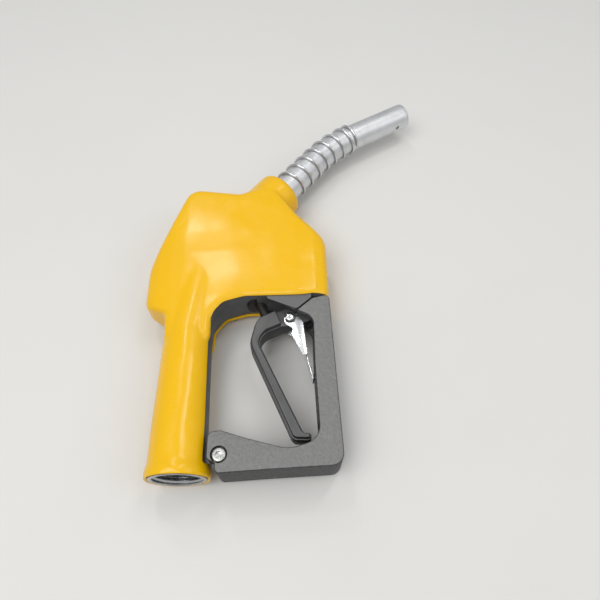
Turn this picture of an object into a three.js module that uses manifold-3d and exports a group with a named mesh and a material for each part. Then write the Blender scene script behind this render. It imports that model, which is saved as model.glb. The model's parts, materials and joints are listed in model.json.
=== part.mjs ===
// Automatic shut-off fuel nozzle, lying on its side.
// Frame in millimetres: +Y runs along the handle from the hose end to the body, +X points to the
// lever guard, +Z is up through the thickness. The shapes are laid out from the centre of the
// inlet face, and the last lines move the group so that its box stands on its bottom centre.
import * as THREE from 'three';
import { mergeVertices } from 'three/addons/utils/BufferGeometryUtils.js';
import Module from 'manifold-3d';

const wasm = await Module();
wasm.setup();

// ---- Driving dimensions ---------------------------------------------------------------------
const GAP = 0.3;                      // clearance between pieces that touch or slide
const TURN = Math.PI * 2;
const DEG = Math.PI / 180;

const INLET_BORE = 15.4;              // radius at the crests of the 1 in female pipe thread
const THREAD_DEPTH = 1.3;
const THREAD_PITCH = 2.21;            // 11.5 threads to the inch
const THREAD_TURNS = 6;
const THREAD_END = 3 + THREAD_TURNS * THREAD_PITCH;
const MOUTH_RADIUS = 16.8;            // lead-in chamfer of the inlet
const INLET_RADIUS = 19.2;            // machined end of the handle
const GRIP_RADIUS = 18.4;             // bare handle near the hose end
const NECK_RADIUS = 16.9;             // bare handle where it enters the body
const GRIP_END = 106;                 // handle length up to the body
const FLOW_BORE = 13;                 // flow passage along the handle
const FLOW_END = 180;

const COVER_WALL = 2.3;               // vinyl scuff cover
const COVER_FLARE = 1.1;              // extra radius of the cover's end bead
const BEAD_END = 5;
const SLOT_START = 8.6;               // end of the closed ring round the hose end
const COVER_SLOT = 11;                // half width of the cover's slot along the handle
const OPENING_GAP = 0.9;              // room round the guard in its opening over the lever
const BODY_HALF = 19.7;               // half thickness of the body casting
const BODY_ROUND = 2;

const SPOUT_ANGLE = 39.5 * DEG;       // spout axis at the collar, measured from the handle axis
const SPOUT_BEND = 21 * DEG;
const SPOUT_RADIUS = 11.9;            // 15/16 in outside diameter
const SPOUT_WALL = 1.4;
const SPOUT_ROOT = 10;                // length of tube inside the collar
const SPOUT_STRAIGHT = 51;            // from the collar face to the bend
const BEND_RADIUS = 134;
const SPOUT_TIP = 61;                 // from the bend to the tip
const SPOUT_END = SPOUT_STRAIGHT + BEND_RADIUS * SPOUT_BEND + SPOUT_TIP;
const COLLAR = new THREE.Vector3(72, 249, 0);
const COLLAR_RADIUS = 18.7;
const COLLAR_BORE = 15;
const COLLAR_DEPTH = 30;
const SET_SCREW_AT = -7.2;            // along the spout axis from the collar face
const SPRING = { turns: 8, pitch: 12.6, closedPitch: 5.2, start: 4, wire: 1.1 };
const VENT_HOLE = 2.2;
const VENT_FROM_TIP = 14.5;
const VENT_TUBE = 2.4;

const GUARD_HALF = 15.3;              // half thickness of the lever guard
const GUARD_ROUND = 3;
const CHANNEL_HALF = 10.9;            // half width of the guard's channel, over the lever
const LEVER_HALF = 9.8;
const TONGUE_HALF = 6.4;
const PIVOT = new THREE.Vector3(88, 121, 0);
const PIN_RADIUS = 2.5;
const RIVET = new THREE.Vector3(76.4, 115.4, 0);
const RIVET_RADIUS = 1.7;
const SHEET = 1.3;                    // latch sheet steel
const LUG_SCREW = new THREE.Vector3(28.5, 12.5, 0);
const SCREW_RADIUS = 2.4;
const LUG_HALF = 6;
const RECESS_RADIUS = 5.6;            // counterbores for the guard screw's head and nut
const RECESS_DEPTH = 3.2;
const GUARD_PIN = new THREE.Vector3(99, 124, 0);
const GUARD_PIN_RADIUS = 1.6;
const RACK = { first: 56, pitch: 4.2, teeth: 5, depth: 2.4 };
const BODY_FACE = 131.3;              // underside of the body, facing the lever

const VALVE_TILT = 22.5 * DEG;        // main valve axis, leaning from +Y towards -X
const STEM_TIP = new THREE.Vector3(58.5, 119.2, 0);
const STEM_RADIUS = 4;
const POPPET_SHANK = 2.6;             // reduced end of the stem that carries the poppet
const PLUNGER_RADIUS = 5.8;
const DIAPHRAGM_RADIUS = 12.6;

const FINE = 24;                      // facets round a large turned piece
const MEDIUM = 16;
const COARSE = 10;

// ---- Helpers --------------------------------------------------------------------------------
function finish(color, roughness, metalness) {
  return new THREE.MeshStandardMaterial({ color, roughness, metalness });
}

const VINYL = () => finish(0xf2b705, 0.32, 0);
const PAINTED_CASTING = () => finish(0x55585a, 0.55, 0.3);
const GUARD_PLASTIC = () => finish(0x3a3c3e, 0.72, 0);
const CHROME = () => finish(0xdfe3e6, 0.12, 1);
const ZINC = () => finish(0xa9adb0, 0.35, 0.9);
const ALUMINIUM = () => finish(0xb9bcbe, 0.32, 1);
const STAINLESS = () => finish(0x9da1a4, 0.3, 1);
const BRASS = () => finish(0xb08d4a, 0.35, 1);
const RUBBER = () => finish(0x1c1c1e, 0.85, 0);

function solidOf(geometry) {
  const bare = geometry.clone();
  bare.deleteAttribute('normal');
  bare.deleteAttribute('uv');
  const merged = mergeVertices(bare, 1e-4);
  const corners = merged.index.array;
  const kept = [];
  for (let i = 0; i < corners.length; i += 3) {
    const [a, b, c] = corners.slice(i, i + 3);
    if (a !== b && b !== c && c !== a) kept.push(a, b, c);
  }
  const vertProperties = Float32Array.from(merged.attributes.position.array);
  const triVerts = Uint32Array.from(kept);
  return new wasm.Manifold(new wasm.Mesh({ numProp: 3, vertProperties, triVerts }));
}

function geometryOf(solid) {
  const { vertProperties, triVerts } = solid.getMesh();
  const geometry = new THREE.BufferGeometry();
  geometry.setAttribute('position', new THREE.BufferAttribute(vertProperties, 3));
  geometry.setIndex(new THREE.BufferAttribute(triVerts, 1));
  return geometry;
}

function join(...geometries) {
  return geometryOf(geometries.map(solidOf).reduce((sum, next) => sum.add(next)));
}

function meet(...geometries) {
  return geometryOf(geometries.map(solidOf).reduce((common, next) => common.intersect(next)));
}

function cut(geometry, ...tools) {
  return geometryOf(tools.map(solidOf).reduce((rest, tool) => rest.subtract(tool), solidOf(geometry)));
}

// Turned solid about the Y axis; each profile point is [radius, height] and the profile closes.
function turned(profile, facets = COARSE) {
  const points = profile.map(([r, y]) => new THREE.Vector2(r, y));
  points.push(points[0].clone());
  const height = (a, b) => a.x * b.y - b.x * a.y;
  const area = points.slice(1).reduce((sum, p, i) => sum + height(points[i], p), 0);
  if (area < 0) points.reverse();
  return new THREE.LatheGeometry(points, facets);
}

function rod(radius, from, to, facets = COARSE) {
  return turned([[0, from], [radius, from], [radius, to], [0, to]], facets);
}

function ring(inner, outer, from, to, facets = COARSE) {
  return turned([[inner, from], [outer, from], [outer, to], [inner, to]], facets);
}

// Rod along Z, centred on the given place.
function crossRod(place, radius, low, high, facets = COARSE) {
  return rod(radius, low, high, facets).rotateX(Math.PI / 2).translate(place.x, place.y, 0);
}

// Straight rod between two points of the mid-plane.
function passage(radius, start, end, facets = MEDIUM) {
  const along = end.clone().sub(start);
  const turn = new THREE.Quaternion().setFromUnitVectors(
    new THREE.Vector3(0, 1, 0), along.clone().normalize());
  return rod(radius, 0, along.length(), facets).applyQuaternion(turn)
    .translate(start.x, start.y, start.z);
}

// Outline through rounded corners, each [x, y, radius]; grow moves every side outwards.
function outline(corners, grow = 0, arcSteps = 4) {
  const count = corners.length;
  const at = (i) => new THREE.Vector2(corners[(i + count) % count][0], corners[(i + count) % count][1]);
  const sides = corners.map((_, i) => {
    const direction = at(i + 1).sub(at(i)).normalize();
    const outward = new THREE.Vector2(direction.y, -direction.x);
    return { start: at(i).addScaledVector(outward, grow), direction };
  });
  const crossing = (a, b) => {
    const turn = a.direction.cross(b.direction);
    const t = b.start.clone().sub(a.start).cross(b.direction) / turn;
    return a.start.clone().addScaledVector(a.direction, t);
  };
  const points = [];
  corners.forEach(([, , radius = 0], i) => {
    const before = sides[(i + count - 1) % count];
    const after = sides[i];
    const corner = crossing(before, after);
    const heading = before.direction;
    const swing = Math.atan2(heading.cross(after.direction), heading.dot(after.direction));
    const fillet = radius > 0 ? Math.max(0, radius + grow * Math.sign(swing)) : 0;
    if (fillet < 0.05 || Math.abs(swing) < 0.03) {
      points.push(corner);
      return;
    }
    const steps = Math.max(2, Math.ceil(arcSteps * Math.abs(swing) * 2 / Math.PI));
    const reach = fillet * Math.tan(Math.abs(swing) / 2);
    const first = corner.clone().addScaledVector(heading, -reach);
    const side = new THREE.Vector2(-heading.y, heading.x).multiplyScalar(Math.sign(swing));
    const centre = first.clone().addScaledVector(side, fillet);
    for (let k = 0; k <= steps; k += 1) {
      points.push(first.clone().rotateAround(centre, swing * k / steps));
    }
  });
  return new THREE.Shape(points);
}

// Plate of the given outline, centred on the mid-plane, with rounded edges.
function plate(shape, half, round = 0, roundSteps = 3) {
  const bevel = round > 0;
  const geometry = new THREE.ExtrudeGeometry(shape, {
    depth: 2 * (half - round), steps: 1, bevelEnabled: bevel, bevelThickness: round,
    bevelSize: round, bevelOffset: -round, bevelSegments: roundSteps, curveSegments: 8,
  });
  return geometry.translate(0, 0, round - half);
}

// Layer of the given outline between two heights.
function layer(shape, low, high) {
  return new THREE.ExtrudeGeometry(shape, { depth: high - low, steps: 1, bevelEnabled: false })
    .translate(0, 0, low);
}

function block(x0, x1, y0, y1, half) {
  return new THREE.BoxGeometry(x1 - x0, y1 - y0, 2 * half).translate((x0 + x1) / 2, (y0 + y1) / 2, 0);
}

// Wire of one radius along a curve, as a closed solid.
function wire(curve, radius, steps, sides = 6) {
  const section = new THREE.Shape(
    new THREE.Path().absarc(0, 0, radius, 0, TURN, false).getSpacedPoints(sides).slice(0, sides));
  return new THREE.ExtrudeGeometry(section, { steps, extrudePath: curve, bevelEnabled: false });
}

class Helix extends THREE.Curve {
  constructor(radius, from, to, turns) {
    super();
    Object.assign(this, { radius, from, to, turns });
  }

  getPoint(t, target = new THREE.Vector3()) {
    const angle = TURN * this.turns * t;
    return target.set(this.radius * Math.cos(angle), this.from + (this.to - this.from) * t,
      this.radius * Math.sin(angle));
  }
}

function coilSpring(radius, wireRadius, from, to, turns, stepsPerTurn = 9) {
  const coil = new Helix(radius, from + wireRadius * 1.1, to - wireRadius * 1.1, turns);
  return wire(coil, wireRadius, Math.round(turns * stepsPerTurn), 4);
}

// ---- Local frames: each assembly is turned about its own local +Y ---------------------------
function frameAt(place, angle) {
  return new THREE.Matrix4().makeRotationZ(angle).setPosition(place);
}

const VALVE_FRAME = frameAt(STEM_TIP, VALVE_TILT);
const SPOUT_FRAME = frameAt(COLLAR, -SPOUT_ANGLE);
const TRIP_FRAME = frameAt(PIVOT, 0);

function inFrame(geometry, frame) {
  return geometry.clone().applyMatrix4(frame);
}

// Stack of the main valve, measured along its axis from the stem tip.
const VALVE = {
  gland: [14, 26], packing: [26 + GAP, 31], outlet: [36, 62], seat: [62 + GAP, 67],
  chamber: [67, 100], cap: [100, 113], glandRadius: 10.5, outletRadius: 14, seatBore: 10.5,
  seatRadius: 15.6, chamberRadius: 15.6, capRadius: 16.8, poppetRadius: 12.6,
};

// Stack of the trip mechanism, measured along +Y from the lever pivot.
const TRIP = {
  guide: 30, flange: [40, 41.6], diaphragm: [43, 44.2], cap: [44.2 + GAP, 56], capEnd: 110,
  latchRadius: 9.5, flangeRadius: 8.8, ball: [4.2, 31.9], pinRadius: 1.9,
};

// ---- Casting and cover share one outer form -------------------------------------------------
const BODY_CORNERS = [
  [-14, 98], [15.5, 98], [16.6, 113.5, 8], [33.5, BODY_FACE, 15], [105, BODY_FACE, 3], [105, 182, 14],
  [83, 206, 12], [62, 240, 12], [37, 229.5, 8], [-4.5, 236, 10], [-32.7, 158, 30], [-32.7, 127.5, 6],
  [-16, 120, 3],
];

// Half thickness of the body along the handle axis, and across it, as a share of BODY_HALF.
const THICKNESS_ALONG = [
  [88, 0.6], [110, 0.74], [BODY_FACE, 0.79], [152, 0.88], [172, 0.97], [190, 1], [222, 1], [246, 0.94],
];
const THICKNESS_ACROSS = [
  [-34, 0.42], [-31, 0.64], [-25, 0.83], [-16, 0.95], [-6, 1], [84, 1], [96, 0.93], [103, 0.8],
  [107, 0.6],
];

function gripForm(grow, flare = 0) {
  const bead = grow + flare;
  return turned([
    [0, 0], [INLET_RADIUS + bead, 0], [INLET_RADIUS + bead, BEAD_END],
    [GRIP_RADIUS + grow, BEAD_END + 5], [GRIP_RADIUS + grow, 32], [NECK_RADIUS + grow, GRIP_END],
    [NECK_RADIUS + grow, 150], [0, 150],
  ], FINE);
}

function collarForm(grow) {
  const radius = COLLAR_RADIUS + grow;
  return inFrame(turned([
    [0, -45], [radius, -45], [radius, -4], [radius - 1.2, -1.2], [radius - 4, 0], [0, 0],
  ], FINE), SPOUT_FRAME);
}

// Outline, symmetric about the mid-plane, whose half width at each place is the given share.
function thicknessShape(shares, grow) {
  const upper = shares.map(([place, share]) => new THREE.Vector2(place, share * BODY_HALF + grow));
  upper[0].x -= grow;
  upper[upper.length - 1].x += grow;
  const lower = upper.map((p) => new THREE.Vector2(p.x, -p.y)).reverse();
  return new THREE.Shape([...lower, ...upper]);
}

function bodyForm(grow) {
  const reach = 400;
  const plan = plate(outline(BODY_CORNERS, grow), BODY_HALF + grow, BODY_ROUND, 2);
  const across = layer(thicknessShape(THICKNESS_ACROSS, grow), 0, reach).rotateX(-Math.PI / 2);
  const along = layer(thicknessShape(THICKNESS_ALONG, grow), -reach / 2, reach / 2)
    .rotateY(-Math.PI / 2).rotateX(Math.PI / 2).rotateZ(Math.PI);
  return meet(plan, across, along);
}

function outerForm(grow, flare = 0) {
  return join(gripForm(grow, flare), bodyForm(grow), collarForm(grow));
}

function bracketCheek(low, high) {
  const corners = [[59, BODY_FACE - 2.5, 2], [81.6, 118.6, 3], [93.2, 128.6], [93.2, 136], [59, 136]];
  return layer(outline(corners), low, high);
}

function guardLug() {
  const root = SLOT_START + GAP;
  const inner = INLET_RADIUS + COVER_WALL + COVER_FLARE + GAP;
  const corners = [[12, root], [inner, root], [inner, 6], [33, 6, 5], [35, 21, 6], [12, 27]];
  return plate(outline(corners), LUG_HALF);
}

function inletThread() {
  const profile = [[0, -1], [MOUTH_RADIUS, -1], [MOUTH_RADIUS, 1], [INLET_BORE, 3]];
  for (let turn = 0; turn < THREAD_TURNS; turn += 1) {
    const start = 3 + turn * THREAD_PITCH;
    const end = start + THREAD_PITCH;
    profile.push([INLET_BORE + THREAD_DEPTH, (start + end) / 2], [INLET_BORE, end]);
  }
  profile.push([INLET_BORE, THREAD_END + 4], [FLOW_BORE, THREAD_END + 7], [FLOW_BORE, FLOW_END]);
  profile.push([0, FLOW_END]);
  return turned(profile, MEDIUM);
}

function valvePocket() {
  const v = VALVE;
  const top = v.packing[1] + GAP;
  return inFrame(turned([
    [0, 0], [v.glandRadius, 0], [v.glandRadius, top], [STEM_RADIUS + GAP, top],
    [STEM_RADIUS + GAP, v.outlet[0]], [v.outletRadius, v.outlet[0]], [v.outletRadius, v.outlet[1]],
    [v.seatRadius, v.outlet[1]], [v.chamberRadius, v.chamber[1]], [v.capRadius, v.chamber[1]],
    [v.capRadius, v.cap[1] + 30], [0, v.cap[1] + 30],
  ], MEDIUM), VALVE_FRAME);
}

function tripPocket() {
  const t = TRIP;
  const wide = DIAPHRAGM_RADIUS + GAP;
  return inFrame(turned([
    [0, 0], [PLUNGER_RADIUS + GAP, 0], [PLUNGER_RADIUS + GAP, t.guide], [t.latchRadius, t.guide],
    [t.latchRadius, t.diaphragm[0] - GAP], [wide, t.diaphragm[0] - GAP], [wide, t.capEnd], [0, t.capEnd],
  ], MEDIUM), TRIP_FRAME);
}

function spoutPocket() {
  return inFrame(rod(COLLAR_BORE, -COLLAR_DEPTH, 2, MEDIUM), SPOUT_FRAME);
}

function flowPassages() {
  const place = (x, y) => new THREE.Vector3(x, y, 0);
  return [
    passage(11.5, place(0, 172), place(24, 194)),
    passage(8.5, place(42, 165), place(61, 168)),
    passage(8.5, place(61, 161), place(58, 226)),
  ];
}

function setScrewHole(radius) {
  return inFrame(rod(radius, 0, 40, COARSE).rotateX(Math.PI / 2), SPOUT_FRAME
    .clone().multiply(new THREE.Matrix4().makeTranslation(0, SET_SCREW_AT, 0)));
}

function bodyCasting() {
  const form = join(outerForm(0), bracketCheek(CHANNEL_HALF, GUARD_HALF),
    bracketCheek(-GUARD_HALF, -CHANNEL_HALF), guardLug());
  return cut(form, inletThread(), valvePocket(), tripPocket(), spoutPocket(), ...flowPassages(),
    setScrewHole(2.6), crossRod(LUG_SCREW, SCREW_RADIUS + GAP, -20, 20));
}

function scuffCover() {
  const skin = cut(outerForm(COVER_WALL, COVER_FLARE), outerForm(GAP));
  const slot = block(0, 60, SLOT_START, 112, COVER_SLOT);
  const arch = block(19, 130, 103, BODY_FACE + 0.4, GUARD_HALF + OPENING_GAP);
  const mouth = rod(INLET_RADIUS + GAP, -1, BEAD_END, FINE);
  const spoutMouth = inFrame(rod(COLLAR_BORE + 1, -3, 6, MEDIUM), SPOUT_FRAME);
  return cut(skin, slot, arch, mouth, spoutMouth);
}

// ---- Lever guard ----------------------------------------------------------------------------
const GUARD_CORNERS = [
  [26, 0.6, 3.4], [60, 2, 30], [109.6, 3.4, 8], [106.8, BODY_FACE - 0.4, 3.4], [93.5, 127.9],
  [82.3, 118], [93.8, 111.5, 9], [93.3, 75, 60], [94.6, 21, 11], [74, 14.6, 20], [46, 22.5, 16],
  [29, 28.2, 4],
  [20.4, 27.4, 4], [20.4, SLOT_START + 0.5, 3.4], [26, SLOT_START - 0.5, 1],
];

function rackNotches() {
  const notches = [];
  for (let i = 0; i < RACK.teeth; i += 1) {
    const y = RACK.first + i * RACK.pitch;
    const corners = [[92, y], [93.4 + RACK.depth, y + 0.6], [92, y + RACK.pitch - 0.6]];
    notches.push(plate(outline(corners), CHANNEL_HALF - 4));
  }
  return notches;
}

function leverGuard() {
  const form = plate(outline(GUARD_CORNERS), GUARD_HALF, GUARD_ROUND, 2);
  const archChannel = block(70, 102.5, 106, BODY_FACE + 4, CHANNEL_HALF);
  const endPocket = block(70, 102.5, 11, 34, CHANNEL_HALF);
  const earSlot = block(10, 38, -2, 40, LUG_HALF + GAP);
  const screwHole = crossRod(LUG_SCREW, SCREW_RADIUS + GAP, -20, 20);
  const floor = GUARD_HALF - RECESS_DEPTH;
  const recess = [[-20, -floor], [floor, 20]]
    .map(([low, high]) => crossRod(LUG_SCREW, RECESS_RADIUS, low, high, MEDIUM));
  const pinHole = crossRod(GUARD_PIN, GUARD_PIN_RADIUS + GAP, -20, 20);
  const holes = [screwHole, pinHole, ...recess, ...rackNotches()];
  return cut(form, archChannel, endPocket, earSlot, ...holes);
}

// ---- Lever and hold-open latch --------------------------------------------------------------
function triggerLever() {
  const bar = plate(outline([
    [66, 122.2, 2], [50.5, 115, 11], [45.6, 94, 14], [76.4, 22.4, 5], [88.6, 21.8, 2], [89.4, 26.6, 2],
    [83.6, 27.6, 3], [52.6, 96, 9], [58.4, 103.6, 5], [71, 109, 2],
  ]), LEVER_HALF, 1.6, 1);
  const tongue = plate(outline([
    [66, 120.8], [62, 108], [78, 108.6, 3], [95.5, 114, 6.6], [94.5, 128.2, 6.6], [80, 126.8, 6],
  ], 0, 4), TONGUE_HALF);
  const fork = block(80, 100, 112, 132, 3.3 + GAP);
  const groove = plate(outline([
    [44, 90], [53.5, 92], [77.5, 36], [70, 30],
  ]), 4.2);
  const sideGroove = cut(groove, plate(outline([[51.6, 92], [90, 92], [90, 20], [80.2, 24]]), 6));
  return cut(join(bar, tongue), fork, sideGroove, crossRod(PIVOT, PIN_RADIUS + GAP, -20, 20),
    crossRod(RIVET, RIVET_RADIUS + GAP, -20, 20));
}

function holdOpenLatch() {
  const inner = TONGUE_HALF + GAP;
  const cheekCorners = [
    [71.6, 120.4, 4.6], [81.5, 119.4, 4.6], [86.4, 111, 6], [88.6, 84, 1.4], [85.2, 84, 1],
    [76.9, 101.4, 3], [78.6, 106, 2], [71.9, 110.6, 4.4],
  ];
  const cheek = outline(cheekCorners, 0, 4);
  const upper = layer(cheek, inner, inner + SHEET);
  const lower = layer(cheek, -inner - SHEET, -inner);
  const webHalf = inner + SHEET / 2;
  const web = layer(outline([[85.1, 107], [86.6, 107], [88.4, 86], [86.6, 86]]), -webHalf, webHalf);
  const pawl = layer(outline([[86.8, 88], [88.2, 88], [93, 66.4, 0.4], [91.6, 65.8, 0.4]]), -5, 5);
  return cut(join(upper, lower, web, pawl), crossRod(RIVET, RIVET_RADIUS + GAP, -20, 20));
}

function rivet() {
  const head = TONGUE_HALF + GAP + SHEET + GAP;
  const shank = turned([
    [0, -head - 1.2], [2.4, -head - 1.2], [3.1, -head], [RIVET_RADIUS, -head], [RIVET_RADIUS, head],
    [3.1, head], [2.4, head + 1.2], [0, head + 1.2],
  ]);
  return shank.rotateX(Math.PI / 2).translate(RIVET.x, RIVET.y, 0);
}

function latchSpring() {
  const start = TONGUE_HALF + GAP + SHEET;
  const coil = new Helix(RIVET_RADIUS + 2.4, start + 0.55, start + 1.9, 2);
  return wire(coil, 0.35, 24, 5).rotateX(Math.PI / 2).translate(RIVET.x, RIVET.y, 0);
}

// ---- Main valve -----------------------------------------------------------------------------
function mainStem() {
  const r = STEM_RADIUS - GAP / 2;
  return turned([
    [0, 0], [2.2, 0], [r, 1.8], [r, 67.4], [POPPET_SHANK, 67.4], [POPPET_SHANK, 82.4], [0, 82.4],
  ], MEDIUM);
}

function packingNut() {
  const [from, to] = VALVE.gland;
  return ring(STEM_RADIUS + GAP, VALVE.glandRadius - GAP, from, to - GAP, 6 * 4);
}

function stemPacking() {
  const [from, to] = VALVE.packing;
  return ring(STEM_RADIUS + GAP, VALVE.glandRadius - GAP, from, to, MEDIUM);
}

function seatRing() {
  const [from, to] = VALVE.seat;
  return turned([
    [VALVE.seatBore, from], [VALVE.seatRadius - GAP, from], [VALVE.seatRadius - GAP, to - 1.2],
    [VALVE.seatBore + 1.4, to - 1.2], [VALVE.seatBore + 0.7, to], [VALVE.seatBore, to],
  ], MEDIUM);
}

function poppetSeal() {
  const from = VALVE.seat[1] + GAP;
  return ring(POPPET_SHANK + GAP, VALVE.poppetRadius - 0.6, from + 0.8, from + 3.4, MEDIUM);
}

function mainPoppet() {
  const from = VALVE.seat[1] + GAP + 3.4 + GAP;
  const r = VALVE.poppetRadius;
  const bore = POPPET_SHANK + GAP;
  return turned([
    [bore, from], [r, from], [r, from + 3], [8, from + 5], [5.2, from + 5], [5.2, from + 8],
    [bore, from + 8],
  ], MEDIUM);
}

function poppetNut() {
  return hexNut(POPPET_SHANK + 0.15, 4.8, 79.4, 81.6);
}

function poppetSpring() {
  return coilSpring(10.2, 0.9, 76.6, VALVE.cap[0] + 2.6, 3.5);
}

function poppetCap() {
  const [from, to] = VALVE.cap;
  const r = VALVE.capRadius - GAP;
  return turned([
    [0, from + 4.5], [12, from + 4.5], [12, from + GAP], [r, from + GAP], [r, to - 4], [r - 2, to - 4],
    [r - 2, to - 1], [9, to - 1], [9, to - 3], [0, to - 3],
  ], MEDIUM);
}

// ---- Trip mechanism -------------------------------------------------------------------------
function plunger() {
  const r = PLUNGER_RADIUS;
  const bore = TRIP.pinRadius + GAP + 0.1;
  const [low, high] = TRIP.flange;
  const shaft = turned([
    [0, 9], [r, 9], [r, low], [TRIP.flangeRadius, low], [TRIP.flangeRadius, high], [bore, high],
    [bore, 18], [0, 18],
  ], MEDIUM);
  const blade = plate(outline([[-5, -5, 4.9], [5, -5, 4.9], [5, 12], [-5, 12]]), 3.3);
  const windows = [0, 1, 2].map((i) => rod(2.1, 0, 12).rotateX(Math.PI / 2)
    .translate(0, TRIP.ball[1], 0).rotateY(i * TURN / 3));
  return cut(join(shaft, blade), crossRod(new THREE.Vector3(), PIN_RADIUS + GAP, -9, 9), ...windows);
}

function tripBall() {
  const [out, up] = TRIP.ball;
  return new THREE.SphereGeometry(1.7, 8, 6).translate(0, up, out);
}

function tripPin() {
  const r = TRIP.pinRadius;
  const top = TRIP.diaphragm[1] + 2;
  return turned([[0, 20], [r, 20], [r, 29], [1.6, 31], [r, 39], [r, top], [0, top]]);
}

function diaphragmPlate() {
  const from = TRIP.diaphragm[1] + GAP;
  const bore = TRIP.pinRadius + 0.15;
  return turned([
    [bore, from], [8, from], [8, from + 1.4], [3.6, from + 1.4], [3.6, from + 3], [bore, from + 3],
  ], MEDIUM);
}

function diaphragm() {
  return ring(TRIP.pinRadius + GAP, DIAPHRAGM_RADIUS, TRIP.diaphragm[0], TRIP.diaphragm[1], MEDIUM);
}

function vacuumCap() {
  const [from, to] = TRIP.cap;
  const r = DIAPHRAGM_RADIUS;
  return turned([
    [0, to - 2.5], [8.6, to - 2.5], [8.6, from], [r, from], [r, to - 2], [r - 2, to], [0, to],
  ], MEDIUM);
}

function plungerSpring() {
  return coilSpring(PLUNGER_RADIUS + 1.7, 0.6, TRIP.guide + 0.4, TRIP.flange[0] - 0.4, 3.5);
}

function diaphragmSpring() {
  return coilSpring(5.4, 0.5, TRIP.diaphragm[1] + GAP + 1.5, TRIP.cap[1] - 2.7, 4);
}

// ---- Spout ----------------------------------------------------------------------------------
// Centre line of the spout in its own frame: straight, an arc towards +X, and straight again.
class SpoutLine extends THREE.Curve {
  constructor(from, to, side = 0, rise = 0) {
    super();
    Object.assign(this, { from, to, side, rise });
  }

  getPoint(t, target = new THREE.Vector3()) {
    const along = this.from + (this.to - this.from) * t;
    const arc = BEND_RADIUS * SPOUT_BEND;
    const turn = THREE.MathUtils.clamp((along - SPOUT_STRAIGHT) / arc, 0, 1) * SPOUT_BEND;
    const before = Math.min(along, SPOUT_STRAIGHT);
    const after = Math.max(0, along - SPOUT_STRAIGHT - arc);
    const x = BEND_RADIUS * (1 - Math.cos(turn)) + after * Math.sin(turn);
    const y = before + BEND_RADIUS * Math.sin(turn) + after * Math.cos(turn);
    return target.set(x + this.side * Math.cos(turn), y - this.side * Math.sin(turn), this.rise);
  }
}

function circlePath(radius, sides, clockwise) {
  const points = [];
  for (let i = 0; i < sides; i += 1) {
    const angle = TURN * (clockwise ? -i : i) / sides;
    points.push(new THREE.Vector2(radius * Math.cos(angle), radius * Math.sin(angle)));
  }
  return points;
}

function spoutTube() {
  const section = new THREE.Shape(circlePath(SPOUT_RADIUS, MEDIUM, false));
  section.holes.push(new THREE.Path(circlePath(SPOUT_RADIUS - SPOUT_WALL, MEDIUM, true)));
  const line = new SpoutLine(-SPOUT_ROOT, SPOUT_END);
  const tube = new THREE.ExtrudeGeometry(section, { steps: 16, extrudePath: line, bevelEnabled: false });
  const vent = new SpoutLine(0, SPOUT_END).getPoint((SPOUT_END - VENT_FROM_TIP) / SPOUT_END);
  const hole = rod(VENT_HOLE, 6, 16, COARSE).rotateZ(-Math.PI / 2 - SPOUT_BEND).translate(vent.x, vent.y, 0);
  return cut(tube, hole);
}

function ventTube() {
  const side = SPOUT_RADIUS - SPOUT_WALL - VENT_TUBE - 2.7 * GAP;
  return wire(new SpoutLine(-SPOUT_ROOT + 3, SPOUT_END - 20, side), VENT_TUBE, 16, 6);
}

// Guard spring: even turns up the neck, with the last turn closed up on the bend.
class SpoutCoil extends THREE.Curve {
  getPoint(t, target = new THREE.Vector3()) {
    const turns = SPRING.turns * t;
    const open = Math.min(turns, SPRING.turns - 1);
    const closed = turns - open;
    const along = SPRING.start + open * SPRING.pitch + closed * SPRING.closedPitch;
    const angle = TURN * turns;
    const radius = SPOUT_RADIUS + SPRING.wire + 2 * GAP;
    const centre = new SpoutLine(0, SPOUT_END).getPoint(along / SPOUT_END);
    const next = new SpoutLine(0, SPOUT_END).getPoint((along + 0.5) / SPOUT_END);
    const forward = next.sub(centre).normalize();
    const across = new THREE.Vector3(forward.y, -forward.x, 0);
    return target.copy(centre).addScaledVector(across, radius * Math.cos(angle))
      .setZ(radius * Math.sin(angle));
  }
}

function spoutSpring() {
  return wire(new SpoutCoil(), SPRING.wire, SPRING.turns * 14, 4);
}

function spoutBush() {
  const outer = COLLAR_BORE - GAP;
  const inner = SPOUT_RADIUS + GAP;
  const bush = turned([
    [inner, -SPOUT_ROOT + GAP], [outer, -SPOUT_ROOT + GAP], [outer, -0.6], [inner, -0.6], [inner, -2],
    [inner + 1.4, -2.4], [inner + 1.4, -4.4], [inner, -4.8],
  ], MEDIUM);
  const hole = rod(2.6, 0, 40).rotateX(Math.PI / 2).translate(0, SET_SCREW_AT, 0);
  return cut(bush, hole);
}

function spoutOring() {
  return new THREE.TorusGeometry(SPOUT_RADIUS + GAP + 0.7, 0.5, 6, MEDIUM).rotateX(Math.PI / 2)
    .translate(0, -3.4, 0);
}

function checkSeat() {
  const outer = COLLAR_BORE - GAP;
  return turned([
    [8, -COLLAR_DEPTH + GAP], [outer, -COLLAR_DEPTH + GAP], [outer, -26], [9.6, -26], [8, -27.2],
  ], MEDIUM);
}

function checkPoppet() {
  return turned([
    [0, -25.6], [10.6, -25.6], [10.6, -24], [3, -22.6], [2, -22], [2, -12.4], [0, -12.4],
  ], MEDIUM);
}

function checkGuide() {
  const outer = COLLAR_BORE - GAP;
  const hoop = ring(12.6, outer, -15, -SPOUT_ROOT - GAP, MEDIUM);
  const hub = ring(2 + GAP, 4.6, -14.6, -12.6, COARSE);
  const arms = [0, 1, 2].map((i) => new THREE.BoxGeometry(9.5, 2, 2).translate(8.8, -13.6, 0)
    .rotateY(i * TURN / 3));
  return join(hoop, hub, ...arms);
}

function checkSpring() {
  return coilSpring(3.7, 0.45, -22.2, -15, 3.5);
}

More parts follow.
